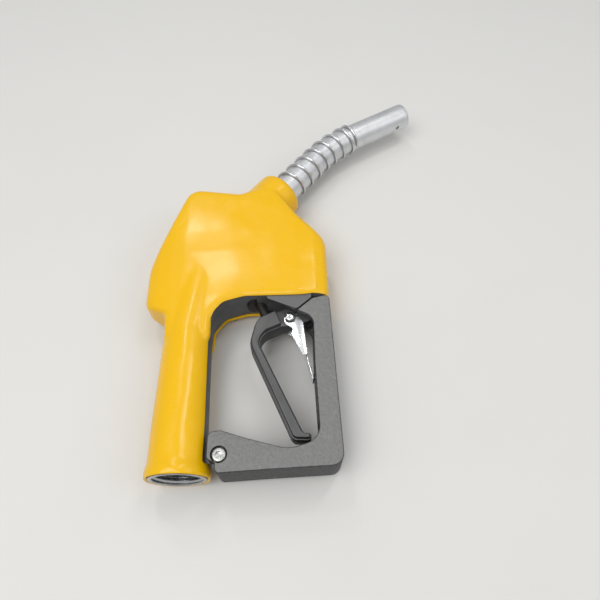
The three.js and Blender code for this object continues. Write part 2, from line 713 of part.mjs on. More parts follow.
// ---- Fasteners, inlet and small pieces ------------------------------------------------------
function guardScrew() {
  const head = GUARD_HALF - 0.4;
  const body = turned([
    [0, -13.4], [SCREW_RADIUS, -13.4], [SCREW_RADIUS, head - 2.5], [4.9, head - 2.5], [4.9, head - 0.9],
    [3.6, head], [0, head],
  ], MEDIUM).rotateX(Math.PI / 2);
  const slot = new THREE.BoxGeometry(12, 1.1, 1.6).translate(0, 0, head);
  return cut(body, slot).translate(LUG_SCREW.x, LUG_SCREW.y, 0);
}

function hexNut(bore, corner, from, to) {
  return cut(rod(corner, from, to, 6), rod(bore, from - 1, to + 1));
}

function guardNut() {
  return hexNut(SCREW_RADIUS + 0.15, 4.8, -14.9, -12.4).rotateX(Math.PI / 2)
    .translate(LUG_SCREW.x, LUG_SCREW.y, 0);
}

function guardPin() {
  return crossRod(GUARD_PIN, GUARD_PIN_RADIUS, -GUARD_HALF + 1, GUARD_HALF - 1);
}

function pivotPin() {
  return crossRod(PIVOT, PIN_RADIUS, -CHANNEL_HALF + 0.6, CHANNEL_HALF - 0.6);
}

function strainer() {
  const start = THREAD_END + 4;
  return turned([
    [14.9, start - 1.6], [14.9, start - 0.5], [12.3, start + 2.6], [8, start + 30], [0, start + 30],
    [0, start + 29.2], [7.3, start + 29.2], [11.5, start + 2], [11.5, start - 1.6],
  ], MEDIUM);
}

function setScrew() {
  return rod(2.3, 12.6, 18.2).rotateX(Math.PI / 2).translate(0, SET_SCREW_AT, 0);
}

// ---- Assembly -------------------------------------------------------------------------------
const nozzle = new THREE.Group();

function add(parent, name, geometry, material) {
  const mesh = new THREE.Mesh(geometry, material);
  mesh.name = name;
  parent.add(mesh);
  return mesh;
}

function assembly(frame) {
  const group = new THREE.Group();
  group.applyMatrix4(frame);
  nozzle.add(group);
  return group;
}

add(nozzle, 'body_casting', bodyCasting(), PAINTED_CASTING());
add(nozzle, 'scuff_cover', scuffCover(), VINYL());
add(nozzle, 'lever_guard', leverGuard(), GUARD_PLASTIC());
add(nozzle, 'guard_screw', guardScrew(), ZINC());
add(nozzle, 'guard_nut', guardNut(), ZINC());
add(nozzle, 'guard_pin', guardPin(), ZINC());
add(nozzle, 'inlet_strainer', strainer(), STAINLESS());
add(nozzle, 'trigger_lever', triggerLever(), GUARD_PLASTIC());
add(nozzle, 'lever_pivot_pin', pivotPin(), STAINLESS());
add(nozzle, 'hold_open_latch', holdOpenLatch(), CHROME());
add(nozzle, 'latch_rivet', rivet(), CHROME());
add(nozzle, 'latch_spring', latchSpring(), STAINLESS());

const valve = assembly(VALVE_FRAME);
add(valve, 'main_valve_stem', mainStem(), STAINLESS());
add(valve, 'stem_packing_nut', packingNut(), BRASS());
add(valve, 'stem_packing', stemPacking(), RUBBER());
add(valve, 'valve_seat', seatRing(), BRASS());
add(valve, 'poppet_seal', poppetSeal(), RUBBER());
add(valve, 'main_poppet', mainPoppet(), BRASS());
add(valve, 'poppet_nut', poppetNut(), STAINLESS());
add(valve, 'poppet_spring', poppetSpring(), STAINLESS());
add(valve, 'poppet_cap', poppetCap(), ALUMINIUM());

const trip = assembly(TRIP_FRAME);
add(trip, 'plunger', plunger(), STAINLESS());
[0, 1, 2].forEach((i) => add(trip, `trip_ball_${i + 1}`, tripBall().rotateY(i * TURN / 3), STAINLESS()));
add(trip, 'trip_pin', tripPin(), STAINLESS());
add(trip, 'diaphragm', diaphragm(), RUBBER());
add(trip, 'diaphragm_plate', diaphragmPlate(), BRASS());
add(trip, 'diaphragm_spring', diaphragmSpring(), STAINLESS());
add(trip, 'plunger_spring', plungerSpring(), STAINLESS());
add(trip, 'vacuum_cap', vacuumCap(), ALUMINIUM());

const spout = assembly(SPOUT_FRAME);
add(spout, 'spout_tube', spoutTube(), ALUMINIUM());
add(spout, 'spout_spring', spoutSpring(), STAINLESS());
add(spout, 'vent_tube', ventTube(), BRASS());
add(spout, 'spout_bush', spoutBush(), BRASS());
add(spout, 'spout_oring', spoutOring(), RUBBER());
add(spout, 'spout_set_screw', setScrew(), STAINLESS());
add(spout, 'check_valve_seat', checkSeat(), BRASS());
add(spout, 'check_valve_poppet', checkPoppet(), BRASS());
add(spout, 'check_valve_guide', checkGuide(), BRASS());
add(spout, 'check_valve_spring', checkSpring(), STAINLESS());

nozzle.updateMatrixWorld(true);
const box = new THREE.Box3().setFromObject(nozzle, true);
const centre = box.getCenter(new THREE.Vector3());
nozzle.position.set(-centre.x, -centre.y, -box.min.z);

export default nozzle;
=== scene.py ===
"""Looks of an automatic shut-off fuel nozzle lying on its side on a pale floor.

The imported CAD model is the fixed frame. Each visible sub-assembly is a class here that builds its
pieces with bmesh operators and dresses them; the pieces inside keep their CAD shape and get a
finish of their own. Lengths are in millimetres, measured from the centre of the hose end, with +Y
along the handle and +X towards the lever guard, until a piece is set into the model's frame.
"""

from __future__ import annotations

import json
import logging
import math
from bisect import bisect_right
from dataclasses import dataclass
from enum import Enum
from typing import Iterable, Sequence

import bmesh
import bpy
from bmesh.types import BMesh
from bpy.types import Material, Node, NodeSocket, NodeTree, Object
from mathutils import Matrix, Vector
from mathutils.bvhtree import BVHTree

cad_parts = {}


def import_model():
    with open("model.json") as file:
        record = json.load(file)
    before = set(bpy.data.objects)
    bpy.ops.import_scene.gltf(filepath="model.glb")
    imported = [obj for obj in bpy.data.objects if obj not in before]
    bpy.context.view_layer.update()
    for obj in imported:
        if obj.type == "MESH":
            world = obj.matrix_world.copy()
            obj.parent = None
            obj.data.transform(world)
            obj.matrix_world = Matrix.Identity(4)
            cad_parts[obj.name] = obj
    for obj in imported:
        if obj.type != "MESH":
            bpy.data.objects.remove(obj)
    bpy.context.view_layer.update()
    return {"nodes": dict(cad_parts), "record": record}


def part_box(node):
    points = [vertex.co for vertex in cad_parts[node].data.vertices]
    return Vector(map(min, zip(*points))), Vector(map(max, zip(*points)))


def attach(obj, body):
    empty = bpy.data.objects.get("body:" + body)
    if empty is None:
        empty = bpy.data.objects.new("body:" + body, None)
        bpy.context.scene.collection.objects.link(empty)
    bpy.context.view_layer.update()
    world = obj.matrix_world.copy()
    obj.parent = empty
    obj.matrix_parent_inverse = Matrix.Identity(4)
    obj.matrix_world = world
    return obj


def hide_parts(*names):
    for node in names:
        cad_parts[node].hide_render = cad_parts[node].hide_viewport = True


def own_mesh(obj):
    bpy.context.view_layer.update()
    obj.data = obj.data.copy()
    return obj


LOG = logging.getLogger("nozzle")

MM = 0.001
FULL_TURN = 2 * math.pi

Corner = tuple[float, float, float]
Place = tuple[float, float]
Profile = Sequence[tuple[float, float]]

# Facets round the large turned pieces.
LARGE_TURN = 96
# Sizes that two or more sub-assemblies share, in millimetres.
GUARD_HALF = 15.3
LEVER_CHANNEL = 10.9
LATCH_RIVET = (76.4, 115.4)


class Body(Enum):
    """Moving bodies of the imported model."""

    NOZZLE = "nozzle"
    LEVER = "lever"
    LATCH = "latch"


class Joining(Enum):
    """Ways in which a tool changes a piece."""

    CUT = "DIFFERENCE"
    ADD = "UNION"


class Slot(Enum):
    """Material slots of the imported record."""

    VINYL = "vinyl"
    CASTING = "painted_casting"
    GUARD = "guard_plastic"
    CHROME = "chrome"
    ZINC = "zinc"
    ALUMINIUM = "aluminium"
    SPOUT = "spout_aluminium"
    SPRING = "spring_steel"
    STAINLESS = "stainless"
    BRASS = "brass"
    RUBBER = "rubber"


# ---- Finishes -------------------------------------------------------------------------------
def linear(colour: str) -> tuple[float, float, float, float]:
    """Turns an sRGB hex colour into linear values.

    Args:
        colour: six hex digits.

    Returns:
        Red, green, blue and an alpha of one.
    """
    parts = [int(colour[i : i + 2], 16) / 255 for i in (0, 2, 4)]
    curve = [c / 12.92 if c <= 0.04045 else ((c + 0.055) / 1.055) ** 2.4 for c in parts]
    return (curve[0], curve[1], curve[2], 1.0)


def per_metre(size_mm: float) -> float:
    """Texture scale of a pattern whose features are this many millimetres across."""
    return 1000.0 / size_mm


def add_node(tree: NodeTree, kind: str, settings: dict | None = None,
             links: dict | None = None) -> Node:
    """Adds one shader node.

    Args:
        tree: node tree that takes the node.
        kind: node type.
        settings: properties by name, and unlinked inputs by socket name.
        links: output sockets by the name of the input they feed.

    Returns:
        The new node.
    """
    node = tree.nodes.new(kind)
    for name, value in (settings or {}).items():
        if name in node.inputs:
            node.inputs[name].default_value = value
        else:
            setattr(node, name, value)
    for name, socket in (links or {}).items():
        tree.links.new(socket, node.inputs[name])
    return node


@dataclass(frozen=True)
class Finish:
    """Surface of one material: its colours, gloss, grain, the marks of use on it, and a painted sheen
    on its flat sides.
    """

    name: str
    colour: str
    # Second colour: random spots of wear, and the painted sheen on flat sides.
    wear_and_sheen_colour: str
    metallic: float = 0.0
    rough: tuple[float, float] = (0.3, 0.4)
    ior: float = 1.5
    coat: float = 0.0
    coat_rough: float = 0.1
    patch_mm: float = 30.0
    wave_mm: float = 0.0
    wave_depth: float = 0.0
    grain_mm: float = 1.0
    grain_depth: float = 0.02
    stretch: tuple[float, float, float] = (1.0, 1.0, 1.0)
    turn: float = 0.0
    spots: float = 0.5
    # Share of the second colour painted on faces that look up or down, as a sheen.
    sheen_on_flats: float = 0.0

    def material(self) -> Material:
        """Builds the material.

        Returns:
            A node material on Object coordinates.
        """
        made = bpy.data.materials.new(self.name)
        made.use_nodes = True
        tree = made.node_tree
        tree.nodes.clear()
        out = add_node(tree, "ShaderNodeOutputMaterial")
        place = add_node(tree, "ShaderNodeTexCoord").outputs["Object"]
        patch = add_node(
            tree, "ShaderNodeTexNoise",
            {"Scale": per_metre(self.patch_mm), "Detail": 6.0, "Roughness": 0.62},
            {"Vector": place},
        )
        share = add_node(
            tree, "ShaderNodeMapRange",
            {"From Min": 0.48, "From Max": 0.78, "To Min": 0.0, "To Max": self.spots},
            {"Value": patch.outputs["Fac"]},
        )
        colour = add_node(
            tree, "ShaderNodeMix",
            {"data_type": "RGBA"},
            {"Factor": self.wear_and_sheen_share(tree, share.outputs["Result"])},
        )
        colour.inputs[6].default_value = linear(self.colour)
        colour.inputs[7].default_value = linear(self.wear_and_sheen_colour)
        along = add_node(
            tree, "ShaderNodeMapping",
            {"Rotation": (0.0, 0.0, self.turn), "Scale": self.stretch},
            {"Vector": place},
        ).outputs["Vector"]
        grain = self.grain(tree, along)
        rough = add_node(
            tree, "ShaderNodeMapRange",
            {"From Min": 0.35, "From Max": 0.7, "To Min": self.rough[0], "To Max": self.rough[1]},
            {"Value": self.gloss_share(tree, patch.outputs["Fac"], grain)},
        )
        normal = add_node(
            tree, "ShaderNodeBump",
            {"Strength": 1.0, "Distance": self.grain_depth * MM},
            {"Height": grain},
        )
        if self.wave_mm:
            wave = add_node(
                tree, "ShaderNodeTexNoise",
                {"Scale": per_metre(self.wave_mm), "Detail": 1.0},
                {"Vector": place},
            )
            normal = add_node(
                tree, "ShaderNodeBump",
                {"Strength": 1.0, "Distance": self.wave_depth * MM},
                {"Height": wave.outputs["Fac"], "Normal": normal.outputs["Normal"]},
            )
        shader = add_node(
            tree, "ShaderNodeBsdfPrincipled",
            {
                "Metallic": self.metallic,
                "IOR": self.ior,
                "Coat Weight": self.coat,
                "Coat Roughness": self.coat_rough,
            },
            {
                "Base Color": colour.outputs[2],
                "Roughness": rough.outputs["Result"],
                "Normal": normal.outputs["Normal"],
            },
        )
        tree.links.new(shader.outputs["BSDF"], out.inputs["Surface"])
        return made

    def grain(self, tree: NodeTree, place: NodeSocket) -> NodeSocket:
        """Fine relief of the surface.

        Args:
            tree: node tree of the material.
            place: coordinates the relief reads.

        Returns:
            The socket that carries its height.
        """
        return add_node(
            tree, "ShaderNodeTexNoise",
            {"Scale": per_metre(self.grain_mm), "Detail": 3.0, "Roughness": 0.6},
            {"Vector": place},
        ).outputs["Fac"]

    def gloss_share(self, tree: NodeTree, patch: NodeSocket, grain: NodeSocket) -> NodeSocket:
        """Socket that spreads the roughness between its two values."""
        return patch

    def wear_and_sheen_share(self, tree: NodeTree, spots: NodeSocket) -> NodeSocket:
        """Share of the second colour: its random spots, and a painted sheen on the faces that look
        straight up or down, the flat sides of the nozzle as it lies.

        Args:
            tree: node tree of the material.
            spots: socket with the share of the spots.

        Returns:
            The socket that mixes the two colours.
        """
        if not self.sheen_on_flats:
            return spots
        facing = add_node(tree, "ShaderNodeTexCoord").outputs["Normal"]
        upright = add_node(tree, "ShaderNodeSeparateXYZ", {}, {"Vector": facing}).outputs["Z"]
        level = add_node(tree, "ShaderNodeMath", {"operation": "ABSOLUTE"}, {"Value": upright})
        # Painted sheen: faces that look straight up or down take the second colour.
        painted_flat_sheen = add_node(
            tree, "ShaderNodeMapRange",
            {"From Min": 0.72, "From Max": 0.97, "To Min": 0.0, "To Max": self.sheen_on_flats},
            {"Value": level.outputs["Value"]},
        )
        both = add_node(
            tree, "ShaderNodeMath",
            {"operation": "MULTIPLY_ADD", "use_clamp": True},
            {"Value": spots},
        )
        both.inputs[1].default_value = 0.35
        tree.links.new(painted_flat_sheen.outputs["Result"], both.inputs[2])
        return both.outputs["Value"]


@dataclass(frozen=True)
class PebbledFinish(Finish):
    """Moulded plastic with a pebbled grain, made of rounded cells."""

    def grain(self, tree: NodeTree, place: NodeSocket) -> NodeSocket:
        """Relief of rounded cells with narrow valleys between them."""
        cells = add_node(
            tree, "ShaderNodeTexVoronoi",
            {"Scale": per_metre(self.grain_mm), "feature": "SMOOTH_F1", "Smoothness": 0.35},
            {"Vector": place},
        )
        return add_node(
            tree, "ShaderNodeMapRange",
            {"From Min": 0.1, "From Max": 0.7, "To Min": 1.0, "To Max": 0.0},
            {"Value": cells.outputs["Distance"]},
        ).outputs["Result"]


@dataclass(frozen=True)
class BrushedFinish(Finish):
    """Metal whose fine lines from brushing or turning spread its shine."""

    def gloss_share(self, tree: NodeTree, patch: NodeSocket, grain: NodeSocket) -> NodeSocket:
        """Roughness follows the brushed lines."""
        return grain


# Dip-moulded PVC (vinyl): thick glossy skin with soft waves and faint hand marks.
VINYL = Finish(
    "dip_moulded_yellow_vinyl", "EAB600", "DCA500", rough=(0.22, 0.38), ior=1.42, coat=0.12,
    coat_rough=0.08, patch_mm=46, wave_mm=24, wave_depth=1.1, grain_mm=1.6, grain_depth=0.012,
    spots=0.3,
)
# Powder-coated aluminium casting: dull grey with a fine sandy texture left by the mould.
CASTING = Finish(
    "grey_painted_aluminium_casting", "57585A", "3E3F41", rough=(0.42, 0.58), patch_mm=18,
    grain_mm=0.7, grain_depth=0.05, spots=0.6,
)
# Die-cast and black-painted bracket, smoother than the guard beside it; its flat sides are painted
# lighter as a sheen.
BRACKET = Finish(
    "satin_black_painted_bracket", "38393A", "717170", rough=(0.4, 0.52), patch_mm=14, grain_mm=0.6,
    grain_depth=0.02, spots=0.3, sheen_on_flats=0.6,
)
# Glass-filled nylon moulded with a leather-like pebble; the two flat sides are painted grey as a
# sheen.
GUARD = PebbledFinish(
    "pebbled_black_nylon", "232527", "8C8C8A", rough=(0.46, 0.62), ior=1.52, patch_mm=3.2,
    grain_mm=1.9, grain_depth=0.34, spots=0.6, sheen_on_flats=0.62,
)
# Moulded acetal lever: satin, polished by hands, with hairline scratches; its flat sides are painted
# lighter as a sheen.
LEVER = Finish(
    "satin_black_moulded_lever", "232426", "626261", rough=(0.28, 0.44), ior=1.49, patch_mm=16,
    grain_mm=1.3, grain_depth=0.015, stretch=(1.0, 0.25, 1.0), turn=0.4, sheen_on_flats=0.55,
)
# Bright nickel-chrome plate on sheet steel: shiny, with a haze from handling.
CHROME = Finish(
    "bright_chrome_plate", "E8E9EA", "CFD1D3", metallic=1.0, rough=(0.2, 0.3), patch_mm=9,
    grain_mm=2.2, grain_depth=0.01, spots=0.4,
)
# Zinc-plated steel fasteners: pale, slightly blotched passivation.
ZINC = Finish(
    "zinc_plated_steel", "B4B5B2", "9C9A8C", metallic=1.0, rough=(0.34, 0.46), patch_mm=6,
    grain_mm=0.5, grain_depth=0.01, spots=0.6,
)
# Aluminium tube drawn and brushed along its length, lightly scuffed by filler necks.
SPOUT = BrushedFinish(
    "brushed_drawn_aluminium", "DCDDDF", "BDBEC0", metallic=1.0, rough=(0.4, 0.58), patch_mm=11,
    grain_mm=0.9, grain_depth=0.02, spots=0.5, stretch=(1.0, 0.06, 1.0), turn=0.9,
)
# Aluminium turned on a lathe: bright, with rings too fine to count drawn a little coarser.
TURNED = BrushedFinish(
    "lathe_turned_aluminium", "B9BABB", "939496", metallic=1.0, rough=(0.2, 0.34), patch_mm=6,
    grain_mm=0.5, grain_depth=0.01, spots=0.4, stretch=(0.2, 3.0, 0.2),
)
# Hard-drawn stainless spring wire: satin with drawing lines.
SPRING = BrushedFinish(
    "drawn_stainless_spring_wire", "D6D7D9", "A5A7A9", metallic=1.0, rough=(0.2, 0.36), patch_mm=5,
    grain_mm=0.6, grain_depth=0.01, spots=0.5,
)
# Machined stainless steel inside the valves.
STAINLESS = BrushedFinish(
    "machined_stainless_steel", "B4B6B8", "8E9092", metallic=1.0, rough=(0.22, 0.38), patch_mm=5,
    grain_mm=0.5, grain_depth=0.01, spots=0.4,
)
# Turned free-cutting brass, a little browned by fuel.
BRASS = BrushedFinish(
    "turned_brass", "B8924E", "8A6A35", metallic=1.0, rough=(0.24, 0.4), patch_mm=6, grain_mm=0.5,
    grain_depth=0.01, spots=0.5,
)
# Moulded nitrile rubber: matt black with a dusty bloom.
RUBBER = Finish(
    "moulded_nitrile_rubber", "1D1D1F", "2B2B2D", rough=(0.6, 0.8), ior=1.52, patch_mm=4, grain_mm=0.4,
    grain_depth=0.02, spots=0.5,
)
# Matt painted board: the plain pale floor.
FLOOR = Finish(
    "matt_pale_floor", "D6D5D2", "CFCECB", rough=(0.55, 0.7), patch_mm=240, grain_mm=3.0,
    grain_depth=0.02, spots=0.4,
)
# Steel and brass at the foot of the valve, painted dark as the shade they lie in.
SHADE_DARK_STEEL = Finish(
    "shade_dark_steel", "3B3A37", "24231F", metallic=0.6, rough=(0.3, 0.5), patch_mm=4, grain_mm=1.0,
    grain_depth=0.02, spots=0.6,
)

CAD_FINISHES = {
    Slot.CASTING: CASTING, Slot.VINYL: VINYL, Slot.GUARD: GUARD, Slot.CHROME: CHROME, Slot.ZINC: ZINC,
    Slot.ALUMINIUM: TURNED, Slot.SPOUT: SPOUT, Slot.SPRING: SPRING, Slot.STAINLESS: STAINLESS,
    Slot.BRASS: BRASS, Slot.RUBBER: RUBBER,
}


class Paintbox:
    """Keeps one material for each finish."""

    def __init__(self) -> None:
        """Starts with no material made."""
        self._made: dict[str, Material] = {}

    def coat(self, piece: Object, finish: Finish) -> None:
        """Gives a piece one finish.

        Args:
            piece: object to dress; its material slots are replaced.
            finish: surface it takes.
        """
        if finish.name not in self._made:
            self._made[finish.name] = finish.material()
        piece.data.materials.clear()
        piece.data.materials.append(self._made[finish.name])


# ---- Shaping --------------------------------------------------------------------------------
def between(place: float, table: Sequence[tuple[float, float]]) -> float:
    """Value of a table at a place, on a straight line between its rows.

    Args:
        place: where the value is wanted.
        table: rows of place and value, in rising order of place.

    Returns:
        The value there, held constant past either end.
    """
    after = bisect_right([row[0] for row in table], place)
    if after == 0:
        return table[0][1]
    if after == len(table):
        return table[-1][1]
    (x0, y0), (x1, y1) = table[after - 1], table[after]
    return y0 + (y1 - y0) * (place - x0) / (x1 - x0)


def rounded_face(corners: Sequence[Corner], height: float, inset: float = 0.0) -> BMesh:
    """Flat face whose corners are rounded.

    Args:
        corners: x, y and fillet radius of each corner, anticlockwise.
        height: z of the face.
        inset: how far its edge is drawn in all round.

    Returns:
        A bmesh with the one face.
    """
    form = bmesh.new()
    points = [form.verts.new((x, y, height)) for x, y, _ in corners]
    form.faces.new(points)
    places = [Vector((x, y)) for x, y, _ in corners]
    count = len(corners)
    for index, (vert, corner) in enumerate(zip(points, corners)):
        before = places[index] - places[index - 1]
        after = places[(index + 1) % count] - places[index]
        swing = abs(before.angle_signed(after))
        if corner[2] > 0 and swing > 0.05:
            steps = max(2, math.ceil(12 * swing / math.pi))
            bmesh.ops.bevel(
                form, geom=[vert], offset=corner[2] * math.tan(swing / 2), offset_type="OFFSET",
                segments=steps, profile=0.5, affect="VERTICES", material=-1, clamp_overlap=False,
            )
    if inset:
        ring = bmesh.ops.inset_region(
            form, faces=list(form.faces), thickness=inset, use_even_offset=True, use_boundary=True,
        )
        bmesh.ops.delete(form, geom=ring["faces"], context="FACES")
    return form


def slab(corners: Sequence[Corner], low: float, high: float, rim: float = 0.0, steps: int = 3,
         inset: float = 0.0) -> BMesh:
    """Plate of a rounded outline with rounded rims.

    Args:
        corners: x, y and fillet radius of each corner, anticlockwise.
        low: z of its underside.
        high: z of its top.
        rim: radius of the rounding along both rims.
        steps: faces across that rounding.
        inset: how far the outline is drawn in.

    Returns:
        A closed bmesh.
    """
    form = rounded_face(corners, low, inset)
    grown = bmesh.ops.extrude_face_region(form, geom=list(form.faces))["geom"]
    raised = [v for v in grown if isinstance(v, bmesh.types.BMVert)]
    bmesh.ops.translate(form, vec=(0, 0, high - low), verts=raised)
    bmesh.ops.recalc_face_normals(form, faces=form.faces)
    if rim:
        edges = [e for e in form.edges if abs(e.verts[0].co.z - e.verts[1].co.z) < 1e-6]
        bmesh.ops.bevel(
            form, geom=edges, offset=rim, offset_type="OFFSET", segments=steps, profile=0.5,
            affect="EDGES", material=-1, clamp_overlap=True,
        )
    return form


def box(low: tuple[float, float, float], high: tuple[float, float, float]) -> BMesh:
    """Plain block between two corners, used as a cutting tool."""
    form = bmesh.new()
    bmesh.ops.create_cube(form, size=1.0)
    span = Vector(high) - Vector(low)
    bmesh.ops.scale(form, vec=span, verts=form.verts)
    bmesh.ops.translate(form, vec=Vector(low) + span / 2, verts=form.verts)
    return form


def turned(profile: Profile, steps: int = 64) -> BMesh:
    """Solid turned about the Y axis.

    Args:
        profile: radius and height of each corner of the closed section.
        steps: facets round it.

    Returns:
        A closed bmesh.
    """
    form = bmesh.new()
    points = [form.verts.new((radius, height, 0)) for radius, height in profile]
    edges = [form.edges.new((points[i - 1], points[i])) for i in range(len(points))]
    bmesh.ops.spin(
        form, geom=points + edges, cent=(0, 0, 0), axis=(0, 1, 0), dvec=(0, 0, 0), angle=FULL_TURN,
        steps=steps, use_merge=True,
    )
    bmesh.ops.remove_doubles(form, verts=form.verts, dist=1e-4)
    bmesh.ops.dissolve_degenerate(form, edges=form.edges, dist=1e-4)
    bmesh.ops.recalc_face_normals(form, faces=form.faces)
    return form


def cross_turned(profile: Profile, centre: Place, steps: int = 48) -> BMesh:
    """Solid turned about an axis along Z through a point of the plan."""
    form = turned(profile, steps)
    upright = Matrix.Translation((centre[0], centre[1], 0)) @ Matrix.Rotation(math.pi / 2, 4, "X")
    bmesh.ops.transform(form, matrix=upright, verts=form.verts)
    return form


def softened(form: BMesh, radius: float, steps: int = 2, sharper_than: float = 32.0) -> BMesh:
    """Rounds every edge sharper than an angle.

    Args:
        form: closed bmesh, changed in place.
        radius: size of the rounding.
        steps: faces across it.
        sharper_than: smallest angle, in degrees, that is rounded.

    Returns:
        The same bmesh.
    """
    limit = math.radians(sharper_than)
    edges = [e for e in form.edges if len(e.link_faces) == 2 and e.calc_face_angle(0) > limit]
    bmesh.ops.bevel(
        form, geom=edges, offset=radius, offset_type="OFFSET", segments=steps, profile=0.5,
        affect="EDGES", material=-1, clamp_overlap=True,
    )
    return form


def gathered(forms: Iterable[BMesh]) -> BMesh:
    """Puts several bmeshes into one and frees them."""
    whole = bmesh.new()
    for form in forms:
        carrier = bpy.data.meshes.new("carrier")
        form.to_mesh(carrier)
        form.free()
        whole.from_mesh(carrier)
        bpy.data.meshes.remove(carrier)
    return whole


def draft(form: BMesh, name: str) -> Object:
    """Object of a bmesh, which is freed."""
    mesh = bpy.data.meshes.new(name)
    form.to_mesh(mesh)
    form.free()
    piece = bpy.data.objects.new(name, mesh)
    bpy.context.scene.collection.objects.link(piece)
    return piece


def baked(piece: Object) -> Object:
    """Turns a piece's modifiers into its mesh."""
    graph = bpy.context.evaluated_depsgraph_get()
    mesh = bpy.data.meshes.new_from_object(piece.evaluated_get(graph))
    piece.modifiers.clear()
    old = piece.data
    piece.data = mesh
    bpy.data.meshes.remove(old)
    return piece


def combined(piece: Object, tools: Sequence[BMesh], joining: Joining = Joining.CUT) -> Object:
    """Cuts tools from a piece, or joins them to it.

    Args:
        piece: object that is changed.
        tools: bmeshes used and freed.
        joining: whether the tools are cut away or added.

    Returns:
        The same object.
    """
    helpers = [draft(tool, "tool") for tool in tools]
    for helper in helpers:
        step = piece.modifiers.new("combine", "BOOLEAN")
        step.object = helper
        step.operation = joining.value
        step.solver = "EXACT"
    baked(piece)
    for helper in helpers:
        bpy.data.objects.remove(helper)
    return piece


def form_of(piece: Object) -> BMesh:
    """Bmesh copy of a draft, which is removed."""
    form = bmesh.new()
    form.from_mesh(piece.data)
    bpy.data.objects.remove(piece)
    bmesh.ops.remove_doubles(form, verts=form.verts, dist=1e-3)
    bmesh.ops.dissolve_degenerate(form, edges=form.edges, dist=1e-3)
    return form


@dataclass(frozen=True)
class Seat:
    """Sets pieces drawn in millimetres from the hose end into the model's frame."""

    origin: Vector
    paint: Paintbox

    @classmethod
    def of_model(cls, paint: Paintbox) -> "Seat":
        """Finds the hose end from the strainer and the casting of the CAD model."""
        low, high = (Vector(c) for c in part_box("inlet_strainer"))
        middle = (low + high) / 2
        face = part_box("body_casting")[0][1]
        return cls(Vector((middle.x, face, middle.z)), paint)

    def place(self, x: float, y: float, z: float = 0.0) -> Vector:
        """Point of the layout in the model's frame."""
        return self.origin + Vector((x, y, z)) * MM

    def settle(self, form: BMesh, name: str, finish: Finish, body: Body,
               stands_for: Sequence[str] = (), crease: float = 34.0) -> Object:
        """Args:
            form: closed bmesh in millimetres, freed here.
            name: name of the piece.
            finish: its surface.
            body: CAD body that it rides on.
            stands_for: CAD nodes that it replaces.
            crease: angle in degrees past which an edge stays sharp.

        Returns:
            The finished object.
        """
        bmesh.ops.transform(
            form, matrix=Matrix.Translation(self.origin) @ Matrix.Scale(MM, 4), verts=form.verts,
        )
        piece = draft(form, name)
        piece.data.shade_smooth()
        piece.data.set_sharp_from_angle(angle=math.radians(crease))
        self.paint.coat(piece, finish)
        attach(piece, body.value)
        if stands_for:
            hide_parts(*stands_for)
        LOG.info("%s: %d faces", name, len(piece.data.polygons))
        return piece


# ---- Handle and body ------------------------------------------------------------------------
@dataclass(frozen=True)
class SpoutAxis:
    """Centre line of the spout: straight out of the collar, round one bend, and straight again."""

    foot: Place = (72.0, 249.0)
    lean: float = math.radians(39.5)
    bend: float = math.radians(21.0)
    bend_radius: float = 134.0
    straight: float = 51.0
    tip: float = 61.0

    @property
    def arc(self) -> float:
        """Length of the bend."""
        return self.bend_radius * self.bend

    @property
    def length(self) -> float:
        """Length from the collar's face to the tip."""
        return self.straight + self.arc + self.tip

    def frame(self) -> Matrix:
        """Turns a form drawn along +Y to stand on the collar's face."""
        return Matrix.Translation((*self.foot, 0)) @ Matrix.Rotation(-self.lean, 4, "Z")

    def stand(self, form: BMesh) -> BMesh:
        """Sets a straight form on the collar's face."""
        bmesh.ops.transform(form, matrix=self.frame(), verts=form.verts)
        return form

    def follow(self, form: BMesh) -> BMesh:
        """Bends a straight form along the spout and sets it on the collar's face."""
        for vert in form.verts:
            across, along = vert.co.x, vert.co.y
            turn = min(max((along - self.straight) / self.arc, 0.0), 1.0) * self.bend
            before = min(along, self.straight)
            after = max(0.0, along - self.straight - self.arc)
            sine, cosine = math.sin(turn), math.cos(turn)
            vert.co.x = self.bend_radius * (1 - cosine) + after * sine + across * cosine
            vert.co.y = before + self.bend_radius * sine + after * cosine - across * sine
        return self.stand(form)


